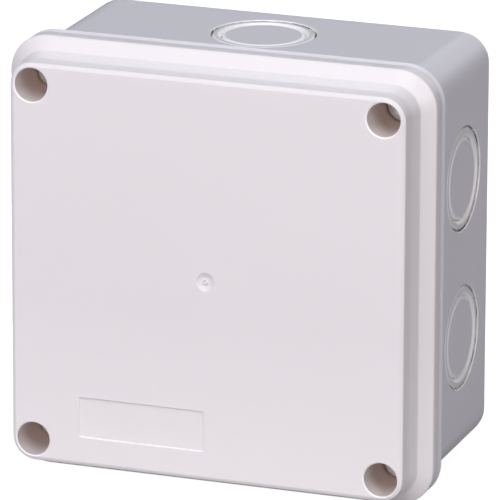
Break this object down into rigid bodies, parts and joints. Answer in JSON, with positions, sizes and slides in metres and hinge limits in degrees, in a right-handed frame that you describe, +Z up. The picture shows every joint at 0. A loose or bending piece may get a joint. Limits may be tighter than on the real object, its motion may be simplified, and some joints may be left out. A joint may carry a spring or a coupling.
{
  "type": "electrical junction box",
  "caption": "Square white plastic junction box with a raised screw-on cover, a sealing gasket and round break-out cable entries in its side walls.",
  "frame": {"origin": "centre of the flat wall face at the back of the box", "axes": "+Z up, +Y into the wall, so the cover faces -Y, and +X to the right seen from the front"},
  "size_m": [0.1, 0.0575, 0.1],
  "materials": {
    "cover_plastic": "smooth moulded, light satin, warm white",
    "base_plastic": "smooth moulded, light satin, white",
    "seal_rubber": "matt elastomer",
    "zinc_steel": "zinc plated steel"
  },
  "bodies": {
    "base": {"base_box": "base_plastic", "knockout_ring_top": "base_plastic", "knockout_ring_right_upper": "base_plastic", "knockout_ring_right_lower": "base_plastic", "knockout_ring_bottom_right": "base_plastic", "knockout_ring_bottom_left": "base_plastic", "knockout_ring_left_upper": "base_plastic", "knockout_ring_left_lower": "base_plastic", "knockout_disc_top": "base_plastic", "knockout_disc_right_upper": "base_plastic", "knockout_disc_right_lower": "base_plastic", "knockout_disc_bottom_right": "base_plastic", "knockout_disc_bottom_left": "base_plastic", "knockout_disc_left_upper": "base_plastic", "knockout_disc_left_lower": "base_plastic"},
    "cover": {"cover": "cover_plastic", "cover_gasket": "seal_rubber"},
    "screw_seal_1": {"screw_seal_1": "seal_rubber"},
    "cover_screw_1": {"cover_screw_1": "zinc_steel"},
    "screw_seal_2": {"screw_seal_2": "seal_rubber"},
    "cover_screw_2": {"cover_screw_2": "zinc_steel"},
    "screw_seal_3": {"screw_seal_3": "seal_rubber"},
    "cover_screw_3": {"cover_screw_3": "zinc_steel"},
    "screw_seal_4": {"screw_seal_4": "seal_rubber"},
    "cover_screw_4": {"cover_screw_4": "zinc_steel"}
  },
  "joints": [
    {"name": "cover_lift", "type": "slide", "parent": "base", "child": "cover", "axis": [0, -1, 0], "range_m": [0, 0.062]},
    {"name": "screw_1_travel", "type": "slide", "parent": "cover", "child": "screw_seal_1", "axis": [0, -1, 0], "range_m": [0, 0.0133]},
    {"name": "screw_1_turn", "type": "hinge", "parent": "screw_seal_1", "child": "cover_screw_1", "pos_m": [-0.04115, -0.0451, 0.04115], "axis": [0, -1, 0], "range_deg": [0, 3420]},
    {"name": "screw_2_travel", "type": "slide", "parent": "cover", "child": "screw_seal_2", "axis": [0, -1, 0], "range_m": [0, 0.0133]},
    {"name": "screw_2_turn", "type": "hinge", "parent": "screw_seal_2", "child": "cover_screw_2", "pos_m": [0.04115, -0.0451, 0.04115], "axis": [0, -1, 0], "range_deg": [0, 3420]},
    {"name": "screw_3_travel", "type": "slide", "parent": "cover", "child": "screw_seal_3", "axis": [0, -1, 0], "range_m": [0, 0.0133]},
    {"name": "screw_3_turn", "type": "hinge", "parent": "screw_seal_3", "child": "cover_screw_3", "pos_m": [0.04115, -0.0451, -0.04115], "axis": [0, -1, 0], "range_deg": [0, 3420]},
    {"name": "screw_4_travel", "type": "slide", "parent": "cover", "child": "screw_seal_4", "axis": [0, -1, 0], "range_m": [0, 0.0133]},
    {"name": "screw_4_turn", "type": "hinge", "parent": "screw_seal_4", "child": "cover_screw_4", "pos_m": [-0.04115, -0.0451, -0.04115], "axis": [0, -1, 0], "range_deg": [0, 3420]}
  ],
  "couplings": [
    {"joint": "screw_1_turn", "follows": "screw_1_travel", "rad_per_m": 4488},
    {"joint": "screw_2_turn", "follows": "screw_2_travel", "rad_per_m": 4488},
    {"joint": "screw_3_turn", "follows": "screw_3_travel", "rad_per_m": 4488},
    {"joint": "screw_4_turn", "follows": "screw_4_travel", "rad_per_m": 4488}
  ]
}
